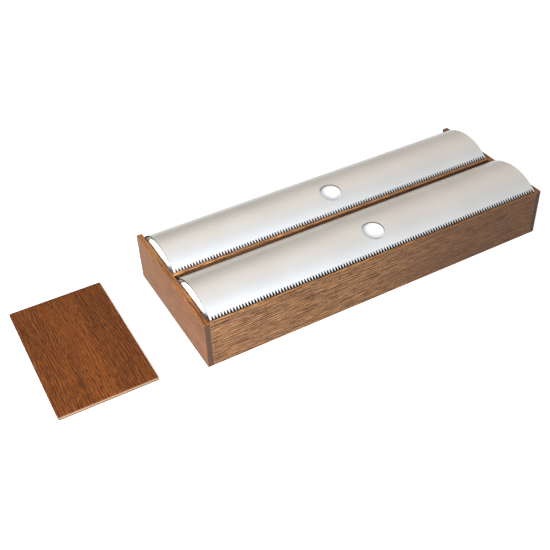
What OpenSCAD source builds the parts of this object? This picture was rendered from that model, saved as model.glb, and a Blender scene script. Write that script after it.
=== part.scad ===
// Drawer dispenser for two rolls of kitchen wrap: a shallow wooden tray with
// two lanes, a hinged steel cutter hood over each lane, and a loose filler board
// that closes the rest of the drawer.
// X runs along the rolls, Y from front to rear, Z up. The origin is the centre of
// the tray's underside.

/* [Tray] */
// Outside length of the tray, along the rolls
tray_length = 380; // [340:1:480]
// Outside depth of the tray, over both lanes
tray_depth = 151; // [147:1:180]
// Height of the front board, the divider and the end panels
tray_height = 51; // [50:0.5:58]
// Thickness of the wall boards and the divider
board_t = 6; // [5:0.25:8]
// Thickness of the base panel
base_t = 4; // [3:0.25:4.75]
// How far the rear board stops below the end panels
rear_board_drop = 5; // [5:0.25:12]
// How far the rear lane's hood stops short of the tray's rear face
rear_lip = 1; // [0.5:0.25:3]
// Width of the bevel on every outer arris
arris = 0.4; // [0.2:0.1:0.8]

/* [Joinery] */
// How far the base panel is let into each wall
base_rebate = 3; // [2:0.25:4]
// How far the divider is let into each end panel
housing_depth = 2; // [1:0.25:3]
// Wood left above the stopped housing of the divider
housing_stop = 5; // [3:0.5:10]
// Diameter of the corner dowels
dowel_d = 3; // [2:0.25:4]
// Depth of a dowel hole in the end panel
dowel_in_panel = 4; // [3:0.25:4.5]
// Depth of a dowel hole in the end of a board
dowel_in_board = 12; // [8:0.5:20]
// Height of the lower dowel above the tray's underside
dowel_low = 13; // [9:0.5:16]
// Distance from the lower to the upper dowel
dowel_spacing = 22; // [12:0.5:24]

/* [Cutter hoods] */
// Thickness of the sheet steel
sheet_t = 1.2; // [1:0.05:1.5]
// Height of the hood's crest above the tray walls
hood_rise = 13.3; // [12.8:0.1:20]
// Distance from the front face of the wall back to the underside of the tooth tips
tip_setback = 2.6; // [1:0.1:4.5]
// Height of the tooth tips' underside above the wall, the gap for the wrap
wrap_gap = 0.3; // [0.2:0.05:1]
// Gap between each end of a hood and the end panel
hood_end_gap = 1.3; // [1:0.05:2.5]
// Distance from one tooth to the next
tooth_pitch = 3; // [2:0.1:6]
// Length of a tooth
tooth_depth = 3.4; // [2:0.1:5]
// Width of a tooth at its tip
tooth_tip_w = 0.5; // [0.2:0.05:0.8]
// Width of the gap between teeth at its root
tooth_root_gap = 0.9; // [0.2:0.05:1.2]
// Diameter of the finger hole
finger_hole_d = 22; // [18:0.5:28]
// Distance from the crest forward to the middle of the finger hole
finger_hole_forward = 12; // [4:0.25:14]

/* [Hinges] */
// Diameter of the hinge pins
pin_d = 2.5; // [2:0.1:3]
// Radial clearance between a pin and the rolled edge that turns on it
pin_clearance = 0.05; // [0.02:0.01:0.1]
// Depth of the pin's seat in the end panel
pin_seat = 4.2; // [3:0.1:4.5]
// Length of the pin inside the rolled edge
pin_reach = 9; // [6:0.5:15]
// Bevel on the ends of a pin
pin_bevel = 0.3; // [0.1:0.05:0.5]
// Distance of the hinge axis below the top of the end panels
hinge_drop = 3.2; // [2.8:0.1:4.5]
// Gap between the rolled edge and the wall behind it
hinge_gap = 3; // [2.5:0.1:3.6]
// Gap round the rolled edge in the rear board's cove
cove_gap = 0.6; // [0.4:0.05:0.9]
// Turn of the rolled edge round its pin, in degrees
curl_turn = 285; // [270:1:290]
// How much of that turn runs along the end of the arc, in degrees
curl_overlap = 8; // [4:1:12]
// Thickness of the spacer washers
washer_t = 1.1; // [0.5:0.05:1.2]

/* [Rolls] */
// Space between the top of a full roll and the hood's crest
roll_head_gap = 2.8; // [2:0.1:16]
// Outside diameter of the cardboard core
core_d = 34; // [26:0.5:40]
// Wall of the cardboard core
core_wall = 1.5; // [1:0.1:3]
// Gap between each end of the core and the end panel
roll_end_gap = 1; // [0.5:0.25:30]
// How far the core stands out of the wound wrap at each end
core_proud = 0.5; // [0.2:0.1:2]
// Gap under a roll
roll_lift = 0.3; // [0.3:0.05:0.6]
// Least gap between a roll and the wall beside it
roll_side_gap = 0.8; // [0.5:0.1:2]

/* [Filler board] */
// Width of the filler board, along the drawer
filler_width = 92; // [40:1:160]
// Thickness of the filler board
filler_t = 4.2; // [3:0.1:8]
// Gap between the tray and the near corner of the filler board
filler_gap = 44; // [20:1:120]
// Distance of the filler board's near edge behind the tray's front face
filler_back = 9; // [0:0.5:30]
// Turn of the loose filler board, in degrees
filler_turn = -0.5; // [-3:0.1:3]

/* [Hidden] */

$fn = 96;
// Overshoot of every cutting shape past the face it cuts
past = 1;

walnut = [0.50, 0.30, 0.17];
walnut_end = [0.44, 0.28, 0.18];
steel = [0.80, 0.80, 0.78];
bright_steel = [0.70, 0.70, 0.72];
nylon = [0.16, 0.13, 0.11];
card = [0.66, 0.52, 0.36];
white_wrap = [0.95, 0.95, 0.93];
dowel_wood = [0.80, 0.66, 0.46];

inner_length = tray_length - 2 * board_t;
// From the front face of one lane's front wall to that of the next
lane_pitch = (tray_depth - rear_lip) / 2;
rear_lane_w = tray_depth - lane_pitch - 2 * board_t;
rear_board_top = tray_height - rear_board_drop;

hood_length = inner_length - 2 * hood_end_gap;
knuckle_bore_r = pin_d / 2 + pin_clearance;
knuckle_r = knuckle_bore_r + sheet_t;
hinge_y = lane_pitch - hinge_gap - knuckle_r;
hinge_z = tray_height - hinge_drop;
tip_y = tip_setback;
tip_z = tray_height + wrap_gap;
crest_z = tray_height + hood_rise;

// The underside of the hood is one circular arc. It starts at the tooth tips, rises
// to the crest and runs tangent into the bore of the rolled edge at the hinge. For
// a given crest each end gives the radius as a parabola in the centre's Y, and
// hood_y is where the two parabolas meet.
under_crest = crest_z - sheet_t;
tip_fall = under_crest - tip_z;
bore_fall = under_crest - hinge_z - knuckle_bore_r;
meet_a = bore_fall - tip_fall;
meet_b = 2 * (tip_fall * hinge_y - bore_fall * tip_y);
meet_c = bore_fall * (tip_y ^ 2 + tip_fall ^ 2)
    - tip_fall * (hinge_y ^ 2 + (under_crest - hinge_z) ^ 2 - knuckle_bore_r ^ 2);
meet_q = -(meet_b + sign(meet_b) * sqrt(meet_b ^ 2 - 4 * meet_a * meet_c)) / 2;
hood_y = meet_c / meet_q;
hood_in_r = ((hood_y - tip_y) ^ 2 + tip_fall ^ 2) / (2 * tip_fall);
hood_r = hood_in_r + sheet_t;
hood_z = crest_z - hood_r;
// Angles from straight up, negative towards the front
tip_angle = -asin((hood_y - tip_y) / hood_in_r);
hinge_angle = asin((hinge_y - hood_y) / (hood_in_r - knuckle_bore_r));
hole_angle = -asin(finger_hole_forward / hood_r);

tooth_count = floor(hood_length / tooth_pitch) - 1;

// A full roll is as large as the closed hood and the lane's width allow
roll_r = min(under_crest - base_t - roll_lift - roll_head_gap, rear_lane_w - 2 * roll_side_gap) / 2;
roll_y = board_t + rear_lane_w - roll_side_gap - roll_r;
roll_z = base_t + roll_lift + roll_r;
core_length = inner_length - 2 * roll_end_gap;
wrap_length = core_length - 2 * core_proud;

// Y is counted from the tray's front face inside these frames
module tray_frame() {
    translate([0, -tray_depth / 2, 0]) children();
}

module lane_frame(lane) {
    tray_frame() translate([0, lane * lane_pitch, 0]) children();
}

// Both ends of the tray: children are drawn at the right end and mirrored to the left
module both_ends() {
    children();
    mirror([1, 0, 0]) children();
}

// A flat shape in Y and Z, carried along X and centred on X = 0
module along_x(length) {
    translate([-length / 2, 0, 0]) rotate([90, 0, 90]) linear_extrude(length) children();
}

module rod_along_x(r, x_from, x_to) {
    translate([x_from, 0, 0]) rotate([0, 90, 0]) cylinder(r = r, h = x_to - x_from);
}

module bevelled_rectangle(w, h, cut) {
    polygon([
        [cut, 0], [w - cut, 0], [w, cut], [w, h - cut],
        [w - cut, h], [cut, h], [0, h - cut], [0, cut]
    ]);
}

// A board whose long arrises are bevelled and whose ends are left square
module long_board(length, depth, height) {
    along_x(length) bevelled_rectangle(depth, height, arris);
}

// A pie slice of the plane, from one angle from straight up to another
module slice(reach, from, to) {
    steps = ceil((to - from) / 60);
    polygon(concat(
        [[0, 0]],
        [for (i = [0:steps]) reach * 2 * [sin(from + (to - from) * i / steps), cos(from + (to - from) * i / steps)]]
    ));
}

module ring_slice(r_out, r_in, from, to) {
    intersection() {
        difference() {
            circle(r_out);
            circle(r_in);
        }
        slice(r_out, from, to);
    }
}

module corner_dowel_places(y) {
    for (z = [dowel_low, dowel_low + dowel_spacing])
        translate([0, y, z]) children();
}

module dowel_holes_in_board() {
    both_ends() corner_dowel_places(board_t / 2)
        rod_along_x(dowel_d / 2, inner_length / 2 - dowel_in_board, inner_length / 2 + past);
}

module base_recess() {
    translate([-tray_length / 2 + board_t - base_rebate, board_t - base_rebate, -past])
        cube([tray_length - 2 * (board_t - base_rebate), tray_depth - 2 * (board_t - base_rebate), base_t + past]);
}

module hinge_axes() {
    for (lane = [0, 1])
        translate([0, lane * lane_pitch + hinge_y, hinge_z]) children();
}

// The right end panel, with its outer face at X = tray_length / 2
module end_panel() {
    color(walnut) tray_frame() difference() {
        translate([tray_length / 2 - board_t, 0, 0]) intersection() {
            linear_extrude(tray_height) polygon([
                [0, 0], [board_t - arris, 0], [board_t, arris],
                [board_t, tray_depth - arris], [board_t - arris, tray_depth], [0, tray_depth]
            ]);
            translate([0, tray_depth, 0]) rotate([90, 0, 0]) linear_extrude(tray_depth)
                bevelled_rectangle(board_t, tray_height, arris);
            rotate([90, 0, 90]) linear_extrude(board_t)
                bevelled_rectangle(tray_depth, tray_height, arris);
        }
        base_recess();
        // Stopped housing for the end of the divider
        translate([inner_length / 2 - past, lane_pitch, base_t])
            cube([housing_depth + past, board_t, tray_height - housing_stop - base_t]);
        for (y = [board_t / 2, tray_depth - board_t / 2])
            corner_dowel_places(y)
                rod_along_x(dowel_d / 2, inner_length / 2 - past, inner_length / 2 + dowel_in_panel);
        hinge_axes() rod_along_x(pin_d / 2, inner_length / 2 - past, inner_length / 2 + pin_seat);
    }
}

module right_end_panel() {
    end_panel();
}

module left_end_panel() {
    mirror([1, 0, 0]) end_panel();
}

module front_board() {
    color(walnut) tray_frame() difference() {
        long_board(inner_length, board_t, tray_height);
        base_recess();
        dowel_holes_in_board();
    }
}

// The rear board stops low, and a cove in its inner arris clears the rolled edge
module rear_board() {
    color(walnut) tray_frame() difference() {
        translate([0, tray_depth - board_t, 0]) long_board(inner_length, board_t, rear_board_top);
        base_recess();
        translate([0, tray_depth - board_t, 0]) dowel_holes_in_board();
        translate([0, lane_pitch + hinge_y, hinge_z])
            rod_along_x(knuckle_r + cove_gap, -inner_length / 2 - past, inner_length / 2 + past);
    }
}

module lane_divider() {
    color(walnut) tray_frame() translate([0, lane_pitch, 0]) union() {
        translate([0, 0, base_t]) long_board(inner_length, board_t, tray_height - base_t);
        both_ends() translate([inner_length / 2 - past, 0, base_t])
            cube([housing_depth + past, board_t, tray_height - housing_stop - base_t]);
    }
}

module base_panel() {
    color(walnut_end) tray_frame()
        translate([-tray_length / 2 + board_t - base_rebate, board_t - base_rebate, 0])
            cube([tray_length - 2 * (board_t - base_rebate), tray_depth - 2 * (board_t - base_rebate), base_t]);
}

module corner_dowels() {
    color(dowel_wood) tray_frame() both_ends()
        for (y = [board_t / 2, tray_depth - board_t / 2])
            corner_dowel_places(y)
                rod_along_x(dowel_d / 2, inner_length / 2 - dowel_in_board, inner_length / 2 + dowel_in_panel);
}

// The gaps between the teeth, in X and in distance up the sheet. They start a little
// in front of the tips, where they are still narrower than the pitch.
module tooth_gaps() {
    root = tooth_root_gap / 2;
    mouth = tooth_pitch / 2 - tooth_tip_w / 4;
    slope = (tooth_pitch / 2 - tooth_tip_w / 2 - root) / tooth_depth;
    start = -tooth_tip_w / 4 / slope;
    for (i = [0:tooth_count]) translate([(i - tooth_count / 2) * tooth_pitch, 0])
        polygon([[-mouth, start], [-root, tooth_depth], [root, tooth_depth], [mouth, start]]);
}

// Sheet-steel hood: one arc from the teeth to the rolled edge
module hood() {
    color(steel) difference() {
        along_x(hood_length) union() {
            translate([hood_y, hood_z])
                ring_slice(hood_r, hood_in_r, tip_angle, hinge_angle);
            translate([hinge_y, hinge_z])
                ring_slice(knuckle_r, knuckle_bore_r, hinge_angle - curl_overlap, hinge_angle + curl_turn);
        }
        translate([0, tip_y, tip_z]) rotate([-tip_angle, 0, 0])
            translate([0, 0, -past]) linear_extrude(sheet_t + 2 * past) tooth_gaps();
        translate([0, hood_y, hood_z]) rotate([-hole_angle, 0, 0])
            translate([0, 0, hood_in_r - 2 * past])
                cylinder(d = finger_hole_d, h = sheet_t + 3 * past);
    }
}

module front_hood() {
    lane_frame(0) hood();
}

module rear_hood() {
    lane_frame(1) hood();
}

// Two pins on one hinge axis, seated in the end panels
module hinge_pins() {
    pin_tip = hood_length / 2 - pin_reach;
    pin_foot = inner_length / 2 + pin_seat;
    color(bright_steel) both_ends() translate([0, hinge_y, hinge_z]) union() {
        rod_along_x(pin_d / 2, pin_tip + pin_bevel, pin_foot);
        translate([pin_tip, 0, 0]) rotate([0, 90, 0])
            cylinder(r1 = pin_d / 2 - pin_bevel, r2 = pin_d / 2, h = pin_bevel);
    }
}

module front_hinge_pins() {
    lane_frame(0) hinge_pins();
}

module rear_hinge_pins() {
    lane_frame(1) hinge_pins();
}

// Spacers that keep the hood's ends off the end panels
module hinge_washers() {
    color(nylon) both_ends() translate([0, hinge_y, hinge_z]) difference() {
        rod_along_x(knuckle_r, inner_length / 2 - washer_t, inner_length / 2);
        rod_along_x(knuckle_bore_r, inner_length / 2 - washer_t - past, inner_length / 2 + past);
    }
}

module front_hinge_washers() {
    lane_frame(0) hinge_washers();
}

module rear_hinge_washers() {
    lane_frame(1) hinge_washers();
}

module tube_along_x(r_out, r_in, length) {
    difference() {
        rod_along_x(r_out, -length / 2, length / 2);
        rod_along_x(r_in, -length / 2 - past, length / 2 + past);
    }
}

module roll_core() {
    color(card) translate([0, roll_y, roll_z])
        tube_along_x(core_d / 2, core_d / 2 - core_wall, core_length);
}

module roll_wrap() {
    color(white_wrap) translate([0, roll_y, roll_z])
        tube_along_x(roll_r, core_d / 2, wrap_length);
}

module front_roll_core() {
    lane_frame(0) roll_core();
}

module front_roll_wrap() {
    lane_frame(0) roll_wrap();
}

module rear_roll_core() {
    lane_frame(1) roll_core();
}

module rear_roll_wrap() {
    lane_frame(1) roll_wrap();
}

// A loose board as deep as the tray, lying beside it
module filler_board() {
    color(walnut) tray_frame()
        translate([-tray_length / 2 - filler_gap, filler_back, 0]) rotate([0, 0, filler_turn])
            translate([-filler_width, 0, 0]) intersection() {
                linear_extrude(filler_t) bevelled_rectangle(filler_width, tray_depth, arris);
                translate([0, tray_depth, 0]) rotate([90, 0, 0]) linear_extrude(tray_depth)
                    bevelled_rectangle(filler_width, filler_t, arris);
                rotate([90, 0, 90]) linear_extrude(filler_width)
                    bevelled_rectangle(tray_depth, filler_t, arris);
            }
}

left_end_panel();
right_end_panel();
front_board();
rear_board();
lane_divider();
base_panel();
corner_dowels();
front_hood();
rear_hood();
front_hinge_pins();
rear_hinge_pins();
front_hinge_washers();
rear_hinge_washers();
front_roll_core();
front_roll_wrap();
rear_roll_core();
rear_roll_wrap();
filler_board();
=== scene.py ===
"""Drawer dispenser for two rolls of kitchen wrap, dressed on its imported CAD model.

Metres, +Z up, the origin at the centre of the tray's underside, X along the rolls.
"""
import math

import bpy
import numpy as np
from mathutils import Matrix, Vector


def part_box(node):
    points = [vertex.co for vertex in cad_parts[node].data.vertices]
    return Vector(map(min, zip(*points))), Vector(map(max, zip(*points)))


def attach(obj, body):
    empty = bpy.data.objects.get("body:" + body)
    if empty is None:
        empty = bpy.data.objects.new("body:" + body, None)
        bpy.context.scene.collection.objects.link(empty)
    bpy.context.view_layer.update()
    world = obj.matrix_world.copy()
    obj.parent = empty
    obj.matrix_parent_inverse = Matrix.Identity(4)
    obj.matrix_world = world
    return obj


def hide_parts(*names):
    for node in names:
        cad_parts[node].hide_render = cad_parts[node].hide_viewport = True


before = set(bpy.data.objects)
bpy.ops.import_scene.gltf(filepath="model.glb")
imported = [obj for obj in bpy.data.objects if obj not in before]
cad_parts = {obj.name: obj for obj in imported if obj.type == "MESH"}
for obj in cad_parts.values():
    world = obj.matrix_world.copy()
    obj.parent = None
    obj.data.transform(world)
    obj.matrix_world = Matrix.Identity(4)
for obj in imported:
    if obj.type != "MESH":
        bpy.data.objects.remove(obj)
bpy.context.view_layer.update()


# Camera
# Fitted to the tray's corners, the finger holes and the loose board: it stands to the
# left of the front corner and looks down at about 40 degrees.
CAMERA_AT = (-0.38308, -0.57589, 0.5475)
AZIMUTH, ELEVATION, ROLL = math.radians(-27.833), math.radians(39.782), math.radians(-2.603)
SENSOR_WIDTH, FOCAL_LENGTH = 36.0, 55.76
camera_data = bpy.data.cameras.new("photo_camera")
camera_data.sensor_width = SENSOR_WIDTH
camera_data.lens = FOCAL_LENGTH
camera_data.clip_start, camera_data.clip_end = 0.02, 30.0
camera = bpy.data.objects.new("photo_camera", camera_data)
bpy.context.scene.collection.objects.link(camera)
bpy.context.scene.camera = camera
back = Vector((math.sin(AZIMUTH) * math.cos(ELEVATION),
               -math.cos(AZIMUTH) * math.cos(ELEVATION),
               math.sin(ELEVATION)))
level = Vector((0, 0, 1)).cross(back).normalized()
upward = back.cross(level)
camera_right = math.cos(ROLL) * level + math.sin(ROLL) * upward
camera_up = math.cos(ROLL) * upward - math.sin(ROLL) * level
camera_turn = Matrix((camera_right, camera_up, back)).transposed().to_4x4()
camera.matrix_world = Matrix.Translation(CAMERA_AT) @ camera_turn


# End panels
# Two solid walnut boards on edge, sawn with the grain along the tray's depth, oiled,
# with every arris eased. Their front and rear edges show end grain.
def new_material(name):
    """A node material with its tree and its Principled shader, which is already on the output."""
    material = bpy.data.materials.new(name)
    material.use_nodes = True
    tree = material.node_tree
    return material, tree, tree.nodes["Principled BSDF"]


def group_tree(name, inputs, outputs):
    """A shader node group with named sockets: inputs are (kind, name, default), outputs (kind, name)."""
    group = bpy.data.node_groups.new(name, "ShaderNodeTree")
    for kind, socket, default in inputs:
        made = group.interface.new_socket(socket, in_out="INPUT", socket_type="NodeSocket" + kind)
        if default is not None:
            made.default_value = default
    for kind, socket in outputs:
        group.interface.new_socket(socket, in_out="OUTPUT", socket_type="NodeSocket" + kind)
    return group, group.nodes.new("NodeGroupInput"), group.nodes.new("NodeGroupOutput")


def feed(tree, socket, value):
    """Links a socket to another one, or sets it to a plain value."""
    if isinstance(value, bpy.types.NodeSocket):
        tree.links.new(value, socket)
    else:
        socket.default_value = value


def add(tree, kind, inputs=None, **settings):
    """One node with its settings, fed from {input name or index: socket or plain value}."""
    node = tree.nodes.new("ShaderNode" + kind)
    for key, value in settings.items():
        setattr(node, key, value)
    for key, value in (inputs or {}).items():
        feed(tree, node.inputs[key], value)
    return node


def placed_group(tree, group, **values):
    """The outputs of a node group in a material, with its inputs given by name (_ for a space)."""
    node = tree.nodes.new("ShaderNodeGroup")
    node.node_tree = group
    for key, value in values.items():
        feed(tree, node.inputs[key.replace("_", " ")], value)
    return node.outputs


def math_of(tree, operation, *values, clamp=False):
    """The result of one Math node, named by its operation, on sockets or plain numbers."""
    return add(tree, "Math", dict(enumerate(values)), operation=operation, use_clamp=clamp).outputs[0]


def mix_of(tree, factor, a, b, blend="MIX"):
    """Colour a turned towards colour b by factor: sockets 0, 6 and 7 of a colour Mix node."""
    node = add(tree, "Mix", {0: factor, 6: a, 7: b}, data_type="RGBA", blend_type=blend)
    return node.outputs[2]


def fit_of(tree, value, low, high, to_low=0.0, to_high=1.0):
    """value from the range low to high, laid over to_low to to_high and held there."""
    inputs = {0: value, 1: low, 2: high, 3: to_low, 4: to_high}
    return add(tree, "MapRange", inputs, clamp=True).outputs[0]


def noise_of(tree, where, per_metre, detail=2.0, rough=0.5, distort=0.0):
    """Noise on a point, with its waves per metre along each axis."""
    scaled = add(tree, "VectorMath", {0: where, 1: per_metre}, operation="MULTIPLY").outputs[0]
    inputs = {"Vector": scaled, "Scale": 1.0, "Detail": detail, "Roughness": rough, "Distortion": distort}
    return add(tree, "TexNoise", inputs).outputs[0]


def placed_point(tree, at=(0, 0, 0), turn=(0, 0, 0), stretch=(1, 1, 1)):
    """The surface point in the object's own frame, stretched, turned in degrees and moved by at."""
    coordinates = add(tree, "TexCoord").outputs["Object"]
    rotation = tuple(math.radians(angle) for angle in turn)
    inputs = {"Vector": coordinates, "Location": at, "Rotation": rotation, "Scale": stretch}
    return add(tree, "Mapping", inputs).outputs[0]


def bump_of(tree, shader, height, strength, distance=0.0001):
    """Bumps a shader's normal by a height, with the depth of a full step in metres."""
    bump = add(tree, "Bump", {"Strength": strength, "Distance": distance, "Height": height})
    tree.links.new(bump.outputs[0], shader.inputs["Normal"])


# Walnut grain, along X of the point that it is given: the tone is one half plus each
# layer's noise less a half, times its amount. Growth lines are a sine of the way across
# the grain, shifted by noise and broken up by more of it. Open pores are dark and low.
walnut_grain, grain_in, grain_out = group_tree(
    "Walnut grain",
    [("Vector", "Point", None),
     ("Color", "Light", (0.5, 0.3, 0.2, 1)),
     ("Color", "Middle", (0.4, 0.2, 0.1, 1)),
     ("Color", "Dark", (0.2, 0.1, 0.05, 1)),
     ("Float", "Figure", 1.0),
     ("Float", "Streaks", 1.0),
     ("Float", "Flecks", 1.0),
     ("Float", "Fibres", 1.0),
     ("Float", "Lines", 0.3),
     ("Float", "Pores", 0.5)],
    [("Color", "Color"), ("Float", "Roughness"), ("Float", "Height")])
GRAIN_LAYERS = (
    # amount, waves per metre, detail, roughness, distortion
    ("Figure", (2.2, 42, 42), 3, 0.5, 0.6),
    ("Streaks", (6, 310, 310), 4, 0.62, 0.2),
    ("Flecks", (75, 1500, 1500), 2, 0.6, 0.0),
    ("Fibres", (28, 2300, 2300), 2, 0.6, 0.0))
LINES_PER_METRE, LINE_SHIFT = (0, 430, 470), 4.5
OPEN_PORE, FULL_PORE = 0.61, 0.66
SMOOTH_WOOD, ROUGH_WOOD = 0.56, 0.76
grain_point = grain_in.outputs["Point"]
dark, middle, light = (grain_in.outputs[tone_name] for tone_name in ("Dark", "Middle", "Light"))
tone = 0.5
for amount, per_metre, detail, rough, distort in GRAIN_LAYERS:
    layer_noise = noise_of(walnut_grain, grain_point, per_metre, detail, rough, distort)
    swing = math_of(walnut_grain, "SUBTRACT", layer_noise, 0.5)
    tone = math_of(walnut_grain, "MULTIPLY_ADD", swing, grain_in.outputs[amount], tone)
# The last layer, the fibres, also gives the wood its roughness and its height
fibre = layer_noise
across = add(walnut_grain, "VectorMath", {0: grain_point, 1: LINES_PER_METRE}, operation="DOT_PRODUCT")
waver = noise_of(walnut_grain, grain_point, (9, 60, 60), detail=3)
phase = math_of(walnut_grain, "MULTIPLY_ADD", waver, LINE_SHIFT, across.outputs["Value"])
line = math_of(walnut_grain, "SINE", math_of(walnut_grain, "MULTIPLY", phase, math.tau))
broken = fit_of(walnut_grain, noise_of(walnut_grain, grain_point, (90, 600, 600), detail=2), 0.36, 0.6)
strength = math_of(walnut_grain, "MULTIPLY", broken, grain_in.outputs["Lines"])
tone = math_of(walnut_grain, "MULTIPLY_ADD", line, strength, tone)
pore = noise_of(walnut_grain, grain_point, (190, 2700, 2700), detail=1)
pore = fit_of(walnut_grain, pore, OPEN_PORE, FULL_PORE)
pore = math_of(walnut_grain, "MULTIPLY", pore, grain_in.outputs["Pores"])
grain_color = mix_of(walnut_grain, fit_of(walnut_grain, tone, 0.0, 0.5), dark, middle)
grain_color = mix_of(walnut_grain, fit_of(walnut_grain, tone, 0.5, 1.0), grain_color, light)
grain_color = mix_of(walnut_grain, pore, grain_color, dark)
open_grain = math_of(walnut_grain, "ADD", fibre, pore)
grain_rough = fit_of(walnut_grain, open_grain, 0.3, 1.3, SMOOTH_WOOD, ROUGH_WOOD)
grain_height = math_of(walnut_grain, "SUBTRACT", math_of(walnut_grain, "MULTIPLY", fibre, 0.5), pore)
walnut_grain.links.new(grain_color, grain_out.inputs["Color"])
walnut_grain.links.new(grain_rough, grain_out.inputs["Roughness"])
walnut_grain.links.new(grain_height, grain_out.inputs["Height"])

# Arris: how near a point on a box-shaped board is to one of its edges. That distance is
# the second smallest of its distances to the board's faces, and the worn width wanders.
arris, arris_in, arris_out = group_tree(
    "Arris",
    [("Vector", "Centre", (0, 0, 0)), ("Vector", "Half size", (0.1, 0.1, 0.1)), ("Float", "Width", 0.001)],
    [("Float", "Mask")])
board_centre, board_half, worn_width = arris_in.outputs[:3]
board_point = add(arris, "TexCoord").outputs["Object"]
offset = add(arris, "VectorMath", {0: board_point, 1: board_centre}, operation="SUBTRACT").outputs[0]
offset = add(arris, "VectorMath", {0: offset}, operation="ABSOLUTE").outputs[0]
inward = add(arris, "VectorMath", {0: board_half, 1: offset}, operation="SUBTRACT").outputs[0]
in_x, in_y, in_z = add(arris, "SeparateXYZ", {0: inward}).outputs
nearer = math_of(arris, "MINIMUM", in_x, in_y)
farther = math_of(arris, "MAXIMUM", in_x, in_y)
second = math_of(arris, "MAXIMUM", nearer, math_of(arris, "MINIMUM", farther, in_z))
rubbed = noise_of(arris, board_point, (160, 160, 160), detail=3, rough=0.7)
worn_width = math_of(arris, "MULTIPLY", worn_width, fit_of(arris, rubbed, 0.35, 0.65, 0.4, 1.6))
worn_share = math_of(arris, "SUBTRACT", 1.0, math_of(arris, "DIVIDE", second, worn_width), clamp=True)
arris.links.new(worn_share, arris_out.inputs["Mask"])

WORN_WALNUT, WORN_WIDTH, WORN_SHARE = (0.22, 0.095, 0.035, 1), 0.0008, 0.35
END_GRAIN, END_SHARE = (0.038, 0.026, 0.018, 1), 0.85
# Painted shade: near black for the top edge under the tooth tips, where the hoods shade it
TOOTH_SHADE_PAINT = (0.012, 0.008, 0.006, 1)
# Painted light: this tint times top brightens the boards' top faces, as if lit from above
TOP_LIGHT_TINT = (1.0, 0.96, 0.82)
OILED_SHEEN, GRAIN_BUMP = 0.15, 0.35
# In metres: how far under a board's upper face its painted top light starts and is full, where the
# painted shade under the teeth starts and is full beside the line of the tooth tips, how far a
# painted light falloff wanders, and how near to a board's end its end grain starts
TOP_LIGHT_STARTS, TOP_LIGHT_FULL = 0.0006, 0.0001
TOOTH_SHADE_STARTS, TOOTH_SHADE_FULL = -0.0002, 0.0003
DRIFT_WANDER = 0.16
END_SKIN = 0.0001


def walnut(node, turn, at, tones, grain, top=1.3, drift=None, tooth_shade=None, end_axis=None,
           worn=WORN_WALNUT, stretch=(1, 1, 1)):
    """Oiled walnut for one CAD board, and the colour that it ends in.

    turn and stretch lay the grain along the board, and at picks a place in the log. tones are
    its light, middle and dark colours, and grain the amounts for the walnut grain group. top
    brightens the board's top face with painted light. drift is a painted light falloff along the
    board: the axis, where it starts and is full, its share and its colour. stain is painted shade
    under the teeth: the Y behind which the top edge is blackened, and how far. end_axis is the axis
    whose two outer faces show end grain, on a board centred on it, and worn is the colour of rubbed
    arrises.
    """
    low, high = (np.array(corner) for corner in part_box(node))
    centre, half = (low + high) / 2, (high - low) / 2
    material, tree, shader = new_material(node + "_walnut")
    color, rough, height = placed_group(
        tree, walnut_grain, Point=placed_point(tree, at, turn, stretch),
        Light=tones[0], Middle=tones[1], Dark=tones[2], **grain)
    place = add(tree, "TexCoord").outputs["Object"]
    axes = add(tree, "SeparateXYZ", {0: place}).outputs
    # Painted light falloff: the colour turns lighter or darker towards one end of the board
    if drift:
        axis, start, full, share, far_color = drift
        ragged = math_of(tree, "SUBTRACT", noise_of(tree, place, (9, 40, 40), detail=3, distort=0.4), 0.5)
        along = math_of(tree, "MULTIPLY_ADD", ragged, DRIFT_WANDER, axes[axis])
        color = mix_of(tree, fit_of(tree, along, start, full, 0.0, share), color, far_color)
    # Painted light: the top face and the band just under it are brightened
    on_top = fit_of(tree, axes[2], high[2] - TOP_LIGHT_STARTS, high[2] - TOP_LIGHT_FULL)
    painted_top_light = tuple(top * tint for tint in TOP_LIGHT_TINT) + (1,)
    color = mix_of(tree, on_top, color, painted_top_light, blend="MULTIPLY")
    # Painted shade: the top edge behind the tooth tips is blackened
    if tooth_shade:
        tips, share = tooth_shade
        behind_tips = fit_of(tree, axes[1], tips + TOOTH_SHADE_STARTS, tips + TOOTH_SHADE_FULL)
        under_teeth = math_of(tree, "MULTIPLY", on_top, behind_tips)
        color = mix_of(tree, math_of(tree, "MULTIPLY", under_teeth, share), color, TOOTH_SHADE_PAINT)
    if end_axis is not None:
        from_middle = math_of(tree, "ABSOLUTE", axes[end_axis])
        is_end = math_of(tree, "GREATER_THAN", from_middle, half[end_axis] - END_SKIN)
        color = mix_of(tree, math_of(tree, "MULTIPLY", is_end, END_SHARE), color, END_GRAIN)
    edge = placed_group(tree, arris, Centre=tuple(centre), Half_size=tuple(half), Width=WORN_WIDTH)["Mask"]
    color = mix_of(tree, math_of(tree, "MULTIPLY", edge, WORN_SHARE), color, worn)
    tree.links.new(color, shader.inputs["Base Color"])
    tree.links.new(rough, shader.inputs["Roughness"])
    shader.inputs["Specular IOR Level"].default_value = OILED_SHEEN
    bump_of(tree, shader, height, GRAIN_BUMP)
    return material, color


def finish_node(name, material):
    """Puts a material into the slots of a CAD node's object."""
    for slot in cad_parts[name].material_slots:
        slot.material = material


PANEL_TONES = (0.185, 0.077, 0.031, 1), (0.112, 0.044, 0.018, 1), (0.042, 0.017, 0.008, 1)
PANEL_GRAIN = {"Figure": 0.6, "Streaks": 0.6, "Flecks": 3.0, "Fibres": 2.4, "Lines": 0.6, "Pores": 0.5}
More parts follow.
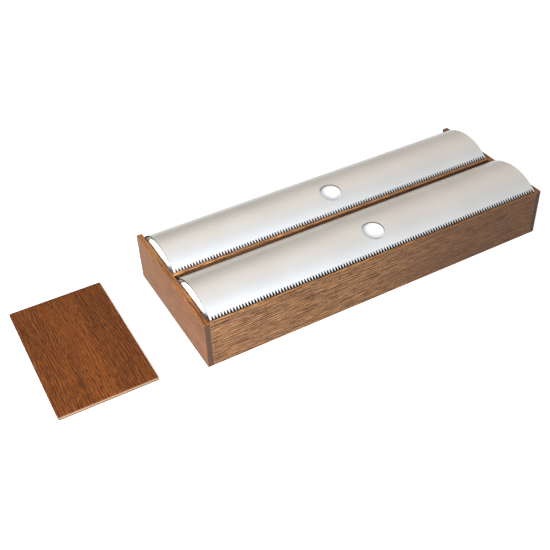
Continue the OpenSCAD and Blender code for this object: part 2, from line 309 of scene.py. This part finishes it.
# Painted light: the left panel turns lighter towards the rear
REAR_END_LIGHT = (0.215, 0.108, 0.055, 1)
PANEL_TURN = (0, 0, 90)
panels = (
    # node, place in the log, drift
    ("left_end_panel", (0.31, 0.05, 0.02), (1, -0.05, 0.05, 0.36, REAR_END_LIGHT)),
    ("right_end_panel", (0.77, 0.11, 0.43), None))
for name, at, drift in panels:
    panel, _ = walnut(name, PANEL_TURN, at, PANEL_TONES, PANEL_GRAIN, top=1.5, drift=drift, end_axis=1)
    finish_node(name, panel)


# Front board, divider and rear board
# Three walnut boards between the end panels, with the grain along the tray. The teeth
# of the hoods hang over the tops of the first two; the rear one stops lower.
BOARD_TONES = (0.235, 0.130, 0.062, 1), (0.130, 0.060, 0.025, 1), (0.031, 0.013, 0.008, 1)
BOARD_GRAIN = {"Figure": 0.3, "Streaks": 0.3, "Flecks": 2.8, "Fibres": 2.4, "Lines": 0.6, "Pores": 0.9}
BOARD_TURN = (0, 1.5, 0)
# Painted shade: the front board and the divider turn darker towards the right
RIGHT_END_SHADE = (0.066, 0.031, 0.018, 1)
boards = (
    # node, place in the log, top (painted top light), drift (painted light falloff), stain (painted shade
    # under the teeth)
    ("front_board", (0.0, 0.013, 0.0), 1.8, (0, 0.0, 0.09, 0.62, RIGHT_END_SHADE), (-0.0731, 0.93)),
    ("lane_divider", (0.4, 0.03, 0.2), 3.3, (0, -0.15, 0.16, 0.8, RIGHT_END_SHADE), (0.0019, 0.5)),
    ("rear_board", (0.9, 0.07, 0.05), 1.5, None, None))
for name, at, top, drift, tooth_shade in boards:
    board, _ = walnut(name, BOARD_TURN, at, BOARD_TONES, BOARD_GRAIN, top=top, drift=drift, tooth_shade=tooth_shade)
    finish_node(name, board)


# Base panel
# A thin veneered panel with its grain along the tray, glued into a rebate round the foot
# of the walls.
BASE_TONES = (0.17, 0.10, 0.06, 1), (0.12, 0.068, 0.04, 1), (0.06, 0.034, 0.02, 1)
BASE_GRAIN = {"Figure": 1.6, "Streaks": 1.2, "Flecks": 1.0, "Fibres": 1.2, "Lines": 0.3, "Pores": 0.5}
base, _ = walnut("base_panel", (0, 0, 0), (0.2, 0.5, 0.1), BASE_TONES, BASE_GRAIN)
finish_node("base_panel", base)


# Corner dowels
# Eight short turned birch dowels, two glued across each corner joint and hidden in it
# once the tray is put together.
BIRCH = {"Light": (0.72, 0.56, 0.36, 1), "Middle": (0.62, 0.47, 0.29, 1), "Dark": (0.42, 0.29, 0.17, 1)}
BIRCH_GRAIN = {"Figure": 0.8, "Streaks": 0.8, "Flecks": 0.8, "Fibres": 0.8, "Lines": 0.3, "Pores": 0.2}
birch, tree, shader = new_material("birch_dowels")
color, rough, _ = placed_group(tree, walnut_grain, Point=placed_point(tree), **BIRCH, **BIRCH_GRAIN)
tree.links.new(color, shader.inputs["Base Color"])
tree.links.new(rough, shader.inputs["Roughness"])
finish_node("corner_dowels", birch)


# Cutter hoods
# Satin steel sheet, 1.2 mm thick, pressed to one long arc. The front edge is cut into
# teeth 3 mm apart, a finger hole is drilled at mid length, and the rear edge is rolled
# round the hinge pins.
MM = 0.001
# Sizes are in millimetres. A lane's Y starts at the front face of the board before it
TRAY_HALF_DEPTH, LANE_PITCH = 75.5, 75.0
LANE_START = {"front": -TRAY_HALF_DEPTH, "rear": LANE_PITCH - TRAY_HALF_DEPTH}
SHEET_T = 1.2
HOOD_HALF = 182.7
HOOD_R, HOOD_Y, HOOD_Z = 51.80695, 35.08206, 12.49305
TIP_ANGLE, HINGE_ANGLE = math.radians(-39.92989), math.radians(44.26950)
ARC_END = HOOD_R * (HINGE_ANGLE - TIP_ANGLE)
CURL_R, CURL_TURN = 2.5, math.radians(285)
TOOTH_PITCH, TOOTH_DEPTH, TOOTH_TIP, TOOTH_ROOT = 3.0, 3.4, 0.5, 0.9
TOOTH_BAND = 0.9
STRIP_END = TOOTH_DEPTH + TOOTH_BAND
HOLE_R, HOLE_FORWARD = 11.0, 12.0
HOLE_AT = HOOD_R * (math.asin(-HOLE_FORWARD / HOOD_R) - TIP_ANGLE)
FRONT_ROWS, HOLE_ROWS, ARC_ROWS, CURL_ROWS = 4, 21, 20, 25
# Half the side of the square round the hole, and the square's share in each ring
WINDOW = 15.0
RING_SHARES = np.array([0.82, 0.6, 0.36, 0.16, 0.05, 0.0])
ROUNDING = 0.01
SHARP_ANGLE = math.radians(35)


def sheet_place(x, along, r_sheet, r_curl):
    """Points on one face of the hood, from x and the way along the sheet from the tooth tips.

    Up to the hinge the way is an arc of the hood's outer radius; past it, the same
    way turns round the hinge axis on the outer radius of the rolled edge.
    """
    theta = TIP_ANGLE + np.minimum(along, ARC_END) / HOOD_R
    turn = HINGE_ANGLE + np.maximum(along - ARC_END, 0) / CURL_R
    axis_y = HOOD_Y + (HOOD_R - CURL_R) * math.sin(HINGE_ANGLE)
    axis_z = HOOD_Z + (HOOD_R - CURL_R) * math.cos(HINGE_ANGLE)
    curled = along > ARC_END
    y = np.where(curled, axis_y + r_curl * np.sin(turn), HOOD_Y + r_sheet * np.sin(theta))
    z = np.where(curled, axis_z + r_curl * np.cos(turn), HOOD_Z + r_sheet * np.cos(theta))
    return np.stack([x, y, z], -1)


def tooth_line():
    """The centre lines of gaps and teeth, the columns at the teeth's corners, and the edge there.

    The edge is how far the sheet starts behind the tooth tips: 0 over a tip, the tooth's
    depth over the root of a gap, and straight between the two.
    """
    half_pitch = TOOTH_PITCH / 2
    steps = np.arange(-int(HOOD_HALF / half_pitch), int(HOOD_HALF / half_pitch) + 1)
    lines = steps * half_pitch
    # A gap's root and a tooth's tip are flat, and end half their width from their centre line
    on_gap = steps % 2 == 0
    after = np.where(on_gap, TOOTH_ROOT / 2, TOOTH_TIP / 2)
    before_next = half_pitch - np.where(on_gap, TOOTH_TIP / 2, TOOTH_ROOT / 2)
    corners = np.stack([lines, lines + after, lines + before_next], -1)[:-1].reshape(-1)
    columns = np.concatenate([[-HOOD_HALF], corners, [lines[-1], HOOD_HALF]])
    from_gap = np.abs((columns + half_pitch) % TOOTH_PITCH - half_pitch)
    rise = (half_pitch - TOOTH_TIP / 2 - from_gap) / (half_pitch - TOOTH_TIP / 2 - TOOTH_ROOT / 2)
    edge = TOOTH_DEPTH * np.clip(rise, 0, 1)
    edge[[0, -1]] = 0
    return lines, columns, edge


def grid_quads(rows, columns, first=0):
    """Corner numbers of the quads of a grid that is stored row by row."""
    a = first + np.arange(rows - 1)[:, None] * columns + np.arange(columns - 1)
    return np.stack([a, a + 1, a + columns + 1, a + columns], -1).reshape(-1, 4)


def rim_quads(faces, count):
    """Quads between the open edges of a sheet and those of its copy, which starts at count.

    An edge that only one face uses is open. The quad joins it to the same edge of the copy.
    """
    edges = np.concatenate([np.stack([f.ravel(), np.roll(f, -1, axis=1).ravel()], -1) for f in faces])
    _, where, times = np.unique(np.sort(edges, axis=1), axis=0, return_index=True, return_counts=True)
    loose = edges[where[times == 1]]
    return np.stack([loose[:, 1], loose[:, 0], loose[:, 0] + count, loose[:, 1] + count], -1)


def hood_mesh():
    """Points (outer face, then inner face) and blocks of faces of one hood.

    A strip along the teeth runs from the tooth line to a straight line behind it. From
    there a grid, with a column on each gap and each tooth, runs to the end of the rolled
    edge. Round the finger hole a square of the grid is swapped for rings: each is a share
    of the square plus the rest of the circle, so the last ring is the hole itself. The
    inner face has the same points one sheet thickness further in, and the rim joins them.
    """
    lines, strip_x, edge = tooth_line()
    columns = np.concatenate([[-HOOD_HALF], lines, [HOOD_HALF]])
    rows = np.concatenate([
        np.linspace(STRIP_END, HOLE_AT - WINDOW, FRONT_ROWS)[1:-1],
        np.linspace(HOLE_AT - WINDOW, HOLE_AT + WINDOW, HOLE_ROWS)[:-1],
        np.linspace(HOLE_AT + WINDOW, ARC_END, ARC_ROWS)[:-1],
        ARC_END + CURL_R * np.linspace(0, CURL_TURN, CURL_ROWS)])
    grid_x, grid_s = np.meshgrid(columns, rows)
    width = len(columns)
    number = np.arange(grid_x.size).reshape(grid_x.shape)
    # The rows and columns on the sides of the square, and the square's corners in turn
    r0, r1 = np.flatnonzero(np.abs(rows - HOLE_AT) < WINDOW + ROUNDING)[[0, -1]]
    c0, c1 = np.flatnonzero(np.abs(columns) < WINDOW + ROUNDING)[[0, -1]]
    square = np.concatenate([number[r0, c0:c1], number[r0:r1, c1],
                             number[r1, c1:c0:-1], number[r1:r0:-1, c0]])
    square_x, square_s = grid_x.ravel()[square], grid_s.ravel()[square]
    around = np.arctan2(square_s - HOLE_AT, square_x)
    share = RING_SHARES[:, None]

    def face_points(inwards):
        """Strip, grid and rings of the face that lies this far inwards of the outer one."""
        r_sheet, r_curl = HOOD_R - inwards, CURL_R - inwards
        front = sheet_place(strip_x, edge, r_sheet, r_curl)
        behind = sheet_place(strip_x, np.full_like(edge, STRIP_END), r_sheet, r_curl)
        grid = sheet_place(grid_x.ravel(), grid_s.ravel(), r_sheet, r_curl)
        circle_x = HOLE_R * np.cos(around)
        circle_s = HOLE_AT + HOOD_R * np.arcsin(HOLE_R * np.sin(around) / r_sheet)
        ring_x = share * square_x + (1 - share) * circle_x
        ring_s = share * square_s + (1 - share) * circle_s
        rings = sheet_place(ring_x.ravel(), ring_s.ravel(), r_sheet, r_curl)
        return np.concatenate([front, behind, grid, rings])

    outer, inner = face_points(0.0), face_points(SHEET_T)
    strip_width = len(strip_x)
    first_grid = 2 * strip_width
    first_ring = first_grid + grid_x.size
    strip = grid_quads(2, strip_width)
    # The strip has three columns to each one of the grid, so six-sided faces join them
    step = np.arange(len(lines) - 1)
    on_strip = strip_width + 1 + 3 * step
    on_grid = first_grid + 1 + step
    joint = np.stack([on_strip, on_strip + 1, on_strip + 2, on_strip + 3, on_grid + 1, on_grid], -1)
    ends = np.array([[strip_width, strip_width + 1, first_grid + 1, first_grid],
                     [first_grid - 2, first_grid - 1, first_grid + width - 1, first_grid + width - 2]])
    grid = grid_quads(len(rows), width, first_grid)
    cell_row, cell_column = np.divmod(np.arange(len(grid)), width - 1)
    in_window = (cell_row >= r0) & (cell_row < r1) & (cell_column >= c0) & (cell_column < c1)
    loop = np.arange(len(square))
    loops = [square + first_grid] + [first_ring + len(square) * i + loop for i in range(len(RING_SHARES))]
    rings = [np.stack([a, np.roll(a, -1), np.roll(b, -1), b], -1) for a, b in zip(loops, loops[1:])]
    sheet = [strip, joint, ends, grid[~in_window], np.concatenate(rings)]
    copy = [faces[:, ::-1] + len(outer) for faces in sheet]
    return np.concatenate([outer, inner]), sheet + copy + [rim_quads(sheet, len(outer))]


def new_piece(name, points, faces, material, body, rim=None):
    """A mesh piece riding on a body, from numpy points in millimetres and blocks of faces.

    It is shaded smooth but for edges past the sharp angle. With a rim material, the last
    block of faces is finished in it.
    """
    mesh = bpy.data.meshes.new(name)
    mesh.from_pydata((points * MM).tolist(), [], sum((block.tolist() for block in faces), []))
    mesh.validate()
    mesh.shade_smooth()
    mesh.set_sharp_from_angle(angle=SHARP_ANGLE)
    mesh.materials.append(material)
    if rim:
        mesh.materials.append(rim)
        finish = np.zeros(len(mesh.polygons), dtype=np.int32)
        finish[-len(faces[-1]):] = 1
        mesh.polygons.foreach_set("material_index", finish)
    piece = bpy.data.objects.new(name, mesh)
    bpy.context.scene.collection.objects.link(piece)
    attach(piece, body)
    return piece


STEEL_HANDLED, STEEL_CLEAN = (0.79, 0.775, 0.755, 1), (0.82, 0.805, 0.785, 1)
steel, tree, shader = new_material("satin_steel")
shader.inputs["Metallic"].default_value = 1.0
steel_point = placed_point(tree)
brushing = noise_of(tree, steel_point, (9, 2600, 2600), detail=3, rough=0.65)
handling = noise_of(tree, steel_point, (22, 30, 30), detail=3)
steel_color = mix_of(tree, fit_of(tree, handling, 0.35, 0.65), STEEL_HANDLED, STEEL_CLEAN)
brushed = fit_of(tree, brushing, 0.25, 0.75, 0.33, 0.39)
handled = fit_of(tree, handling, 0.3, 0.7, 0.0, 0.03)
tree.links.new(steel_color, shader.inputs["Base Color"])
tree.links.new(math_of(tree, "ADD", brushed, handled), shader.inputs["Roughness"])
bump_of(tree, shader, brushing, 0.05, distance=0.00003)

# Painted shade: the cut edges, the tooth flanks and the finger hole's wall are near black, for the shade in
# the tooth gaps and under the hole's rim
EDGE_SHADE_DARK, EDGE_SHADE_GREY = (0.018, 0.017, 0.016, 1), (0.055, 0.053, 0.050, 1)
edge_shade, tree, shader = new_material("shade_painted_steel_edge")
shader.inputs["Metallic"].default_value = 1.0
drag = noise_of(tree, placed_point(tree), (700, 700, 2500), detail=2)
tree.links.new(mix_of(tree, drag, EDGE_SHADE_DARK, EDGE_SHADE_GREY), shader.inputs["Base Color"])
tree.links.new(fit_of(tree, drag, 0.3, 0.7, 0.42, 0.6), shader.inputs["Roughness"])

hood_points, hood_faces = hood_mesh()
for lane, start in LANE_START.items():
    points = hood_points + (0, start, 0)
    hood = new_piece(lane + "_hood_sheet", points, hood_faces, steel, lane + "_cutter", rim=edge_shade)
    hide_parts(lane + "_hood")


# Hinge pins
# Four bright turned steel pins pressed into blind holes in the end panels. The rolled
# edge of a hood turns on each pair.
PIN_GREY, PIN_BRIGHT = (0.52, 0.52, 0.53, 1), (0.66, 0.66, 0.67, 1)
pin_steel, tree, shader = new_material("turned_pin_steel")
shader.inputs["Metallic"].default_value = 1.0
turning = noise_of(tree, placed_point(tree), (9000, 300, 300), detail=1)
tree.links.new(mix_of(tree, turning, PIN_GREY, PIN_BRIGHT), shader.inputs["Base Color"])
tree.links.new(fit_of(tree, turning, 0.3, 0.7, 0.2, 0.34), shader.inputs["Roughness"])
for lane in LANE_START:
    finish_node(lane + "_hinge_pins", pin_steel)


# Hinge washers
# Dark nylon spacers, slipped over the pins between each hood and the end panels so that
# steel doesn't rub on wood.
NYLON_DARK, NYLON_BROWN = (0.018, 0.014, 0.012, 1), (0.035, 0.028, 0.024, 1)
nylon, tree, shader = new_material("dark_nylon")
mottle = noise_of(tree, placed_point(tree), (900, 900, 900), detail=3)
tree.links.new(mix_of(tree, mottle, NYLON_DARK, NYLON_BROWN), shader.inputs["Base Color"])
tree.links.new(fit_of(tree, mottle, 0.3, 0.7, 0.45, 0.6), shader.inputs["Roughness"])
for lane in LANE_START:
    finish_node(lane + "_hinge_washers", nylon)


# Roll cores
# Spiral-wound cardboard tubes with eased ends, in millimetres like the hoods. Each end
# stands a little out of the wound wrap, and the roll lies loose in its lane.
ROLL_Y, ROLL_Z = 41.2, 32.3
CORE_HALF, CORE_R, CORE_IN, CORE_EASE = 183.0, 17.0, 15.5, 0.2
CORE_TURNS = 96
CARD_DARK, CARD_LIGHT, CARD_BLOTCH = (0.30, 0.19, 0.105, 1), (0.46, 0.32, 0.19, 1), (0.36, 0.24, 0.14, 1)


def lathe(profile, turns, axis_y, axis_z):
    """Points and quads of a closed profile of (x, radius), turned about a line along X.

    Each profile point sweeps a circle: y = axis_y + radius sin(a), z = axis_z + radius cos(a).
    """
    profile = np.asarray(profile, float)
    a = np.arange(turns) * 2 * math.pi / turns
    x = np.repeat(profile[:, 0], turns)
    y = axis_y + (profile[:, 1:2] * np.sin(a)).ravel()
    z = axis_z + (profile[:, 1:2] * np.cos(a)).ravel()
    i, j = np.arange(len(profile))[:, None], np.arange(turns)
    next_i, next_j = (i + 1) % len(profile), (j + 1) % turns
    quads = np.stack([i * turns + j, next_i * turns + j, next_i * turns + next_j, i * turns + next_j], -1)
    return np.stack([x, y, z], -1), quads.reshape(-1, 4)


card, tree, shader = new_material("core_cardboard")
card_point = placed_point(tree)
pulp = noise_of(tree, card_point, (500, 500, 500), detail=4, rough=0.7)
blotch = noise_of(tree, card_point, (60, 60, 60), detail=2)
card_color = mix_of(tree, fit_of(tree, pulp, 0.3, 0.7), CARD_DARK, CARD_LIGHT)
card_color = mix_of(tree, fit_of(tree, blotch, 0.3, 0.7, 0.0, 0.35), card_color, CARD_BLOTCH)
tree.links.new(card_color, shader.inputs["Base Color"])
shader.inputs["Roughness"].default_value = 0.85
bump_of(tree, shader, pulp, 0.3)

flat_half = CORE_HALF - CORE_EASE
tube = [(-CORE_HALF, CORE_IN + CORE_EASE), (-CORE_HALF, CORE_R - CORE_EASE), (-flat_half, CORE_R),
        (flat_half, CORE_R), (CORE_HALF, CORE_R - CORE_EASE), (CORE_HALF, CORE_IN + CORE_EASE),
        (flat_half, CORE_IN), (-flat_half, CORE_IN)]
for lane, start in LANE_START.items():
    points, quads = lathe(tube, CORE_TURNS, ROLL_Y + start, ROLL_Z)
    core = new_piece(lane + "_core_tube", points, [quads], card, lane + "_roll")
    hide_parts(lane + "_roll_core")


# Wound wrap
# White wrap wound tight on each core and free to turn with it. The layers end unevenly,
# so the end faces are finely ridged.
WRAP_HALF, WRAP_R, WRAP_EASE, WRAP_GAP = 182.5, 28.0, 0.15, 0.02
WRAP_TURNS = 128
LAYERS, RIDGE, SCATTER = 23, 0.16, 2.399
WRAP_SHADE, WRAP_WHITE = (0.76, 0.765, 0.77, 1), (0.86, 0.86, 0.86, 1)
wrap, tree, shader = new_material("white_wrap")
creases = noise_of(tree, placed_point(tree), (3, 420, 420), detail=3, rough=0.65)
wrap_color = mix_of(tree, fit_of(tree, creases, 0.33, 0.6), WRAP_SHADE, WRAP_WHITE)
tree.links.new(wrap_color, shader.inputs["Base Color"])
tree.links.new(fit_of(tree, creases, 0.3, 0.7, 0.62, 0.45), shader.inputs["Roughness"])
bump_of(tree, shader, creases, 0.2)

# Every second layer stands back, by the ridge times the sine of its number times SCATTER
layer = np.arange(LAYERS)
stand_back = RIDGE * np.abs(np.sin(layer * SCATTER)) * (layer % 2)
layer_r = np.linspace(CORE_R + WRAP_GAP, WRAP_R - WRAP_EASE, LAYERS)
left_end = np.stack([-WRAP_HALF + stand_back, layer_r], -1)
outside = [(-WRAP_HALF + WRAP_EASE, WRAP_R), (WRAP_HALF - WRAP_EASE, WRAP_R)]
right_end = np.stack([WRAP_HALF - stand_back, layer_r], -1)[::-1]
wound = np.concatenate([left_end, outside, right_end])
for lane, start in LANE_START.items():
    points, quads = lathe(wound, WRAP_TURNS, ROLL_Y + start, ROLL_Z)
    winding = new_piece(lane + "_wound_wrap", points, [quads], wrap, lane + "_roll")
    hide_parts(lane + "_roll_wrap")


# Filler board
# A loose walnut-faced board as deep as the tray, lying half a degree askew. Its grain
# runs from front to rear, and its ends are sawn through paler ply under the face.
FILLER_TONES = (0.155, 0.048, 0.010, 1), (0.098, 0.0275, 0.0055, 1), (0.045, 0.013, 0.004, 1)
FILLER_GRAIN = {"Figure": 0.8, "Streaks": 0.6, "Flecks": 2.6, "Fibres": 2.4, "Lines": 0.48, "Pores": 0.5}
FILLER_WORN = (0.13, 0.045, 0.012, 1)
FILLER_TURN = 0.5
LOWER_PLY, UPPER_PLY, PLY_SPECK = (0.095, 0.074, 0.058, 1), (0.205, 0.148, 0.098, 1), (0.16, 0.10, 0.06, 1)
# In metres: the heights over which one ply gives way to the next, and how deep a sawn end goes
PLY_JOINT, FACE_JOINT = (0.0019, 0.0023), (0.0036, 0.0035)
SAW_DEPTH = 0.0003
filler, face_color = walnut("filler_board", (0, 0, 90), (0.6, 0.28, 0.3), FILLER_TONES, FILLER_GRAIN,
                            top=1.0, worn=FILLER_WORN, stretch=(1, 2, 1))
tree = filler.node_tree
filler_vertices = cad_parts["filler_board"].data.vertices
corners = np.empty(3 * len(filler_vertices), dtype=np.float32)
filler_vertices.foreach_get("co", corners)
askew = math.radians(FILLER_TURN)
# How far to the rear a corner lies along the board's own depth: x sin(askew) + y cos(askew)
rearward = corners[0::3] * math.sin(askew) + corners[1::3] * math.cos(askew)
middle, reach = (rearward.max() + rearward.min()) / 2, (rearward.max() - rearward.min()) / 2
along, height = add(tree, "SeparateXYZ", {0: placed_point(tree, turn=(0, 0, FILLER_TURN))}).outputs[1:3]
from_middle = math_of(tree, "ABSOLUTE", math_of(tree, "SUBTRACT", along, float(middle)))
sawn = math_of(tree, "GREATER_THAN", from_middle, float(reach) - SAW_DEPTH)
sawn = math_of(tree, "MULTIPLY", sawn, fit_of(tree, height, *FACE_JOINT))
specks = noise_of(tree, add(tree, "TexCoord").outputs["Object"], (900, 900, 900), detail=2)
ply = mix_of(tree, fit_of(tree, height, *PLY_JOINT), LOWER_PLY, UPPER_PLY)
ply = mix_of(tree, fit_of(tree, specks, 0.35, 0.75, 0.0, 0.5), ply, PLY_SPECK)
tree.links.new(mix_of(tree, sawn, face_color, ply), tree.nodes["Principled BSDF"].inputs["Base Color"])
finish_node("filler_board", filler)


# Floor and light
# A plain white sweep under soft studio light: a large cool source high in front, a small
# warm one low at the front left, and even light from the rest of the room.
FLOOR_HALF, FLOOR_Z, FLOOR_GLOW = 6.0, -0.0002, 0.32
floor_corners = [(x * FLOOR_HALF, y * FLOOR_HALF, FLOOR_Z) for x, y in ((-1, -1), (1, -1), (1, 1), (-1, 1))]
floor_mesh = bpy.data.meshes.new("floor")
floor_mesh.from_pydata(floor_corners, [], [(0, 1, 2, 3)])
floor = bpy.data.objects.new("floor", floor_mesh)
bpy.context.scene.collection.objects.link(floor)
white_floor, tree, shader = new_material("white_floor")
shader.inputs["Base Color"].default_value = (0.93, 0.93, 0.93, 1)
shader.inputs["Roughness"].default_value = 0.9
shader.inputs["Emission Color"].default_value = (1, 1, 1, 1)
seen = add(tree, "LightPath").outputs["Is Camera Ray"]
tree.links.new(math_of(tree, "MULTIPLY", seen, FLOOR_GLOW), shader.inputs["Emission Strength"])
floor_mesh.materials.append(white_floor)

LOW_BOX_AT, LOW_BOX_AIM = Vector((-0.65, -0.45, 0.35)), Vector((0.0, 0.0, 0.03))
box_data = bpy.data.lights.new("low_box", "AREA")
box_data.shape = "SQUARE"
box_data.size = 0.4
box_data.energy = 14.4
box_data.color = (1.0, 0.96, 0.90)
low_box = bpy.data.objects.new("low_box", box_data)
box_turn = (LOW_BOX_AT - LOW_BOX_AIM).to_track_quat("Z", "Y").to_matrix().to_4x4()
low_box.matrix_world = Matrix.Translation(LOW_BOX_AT) @ box_turn
bpy.context.scene.collection.objects.link(low_box)

ROOM_LIGHT = (0.30, 0.31, 0.27)
FALL_POWER = 10.0
WIDE_SOURCES = (
    # azimuth from the front towards the right, elevation, colour
    (0, 55, (1.65, 1.86, 2.20)),
    (0, 89, (0.46, 0.53, 0.66)),
    (180, 55, (0.655, 0.62, 0.575)),
    (120, 55, (0.345, 0.28, 0.25)),
    (36, 22, (0.395, 0.29, 0.27)),
    (144, 22, (0.25, 0.19, 0.18)))
world = bpy.data.worlds.new("studio")
bpy.context.scene.world = world
world.use_nodes = True
tree = world.node_tree
direction = add(tree, "TexCoord").outputs["Generated"]
total = ROOM_LIGHT
for azimuth, elevation, color in WIDE_SOURCES:
    turn, rise = math.radians(azimuth), math.radians(elevation)
    toward = (math.sin(turn) * math.cos(rise), -math.cos(turn) * math.cos(rise), math.sin(rise))
    facing = add(tree, "VectorMath", {0: direction, 1: toward}, operation="DOT_PRODUCT").outputs["Value"]
    fall = math_of(tree, "POWER", math_of(tree, "MAXIMUM", facing, 0.0), FALL_POWER)
    glow = add(tree, "VectorMath", {0: color, "Scale": fall}, operation="SCALE").outputs[0]
    total = add(tree, "VectorMath", {0: glow, 1: total}, operation="ADD").outputs[0]
seen = add(tree, "LightPath").outputs["Is Camera Ray"]
tree.links.new(mix_of(tree, seen, total, (1, 1, 1, 1)), tree.nodes["Background"].inputs["Color"])
bpy.context.scene.view_settings.view_transform = "Standard"
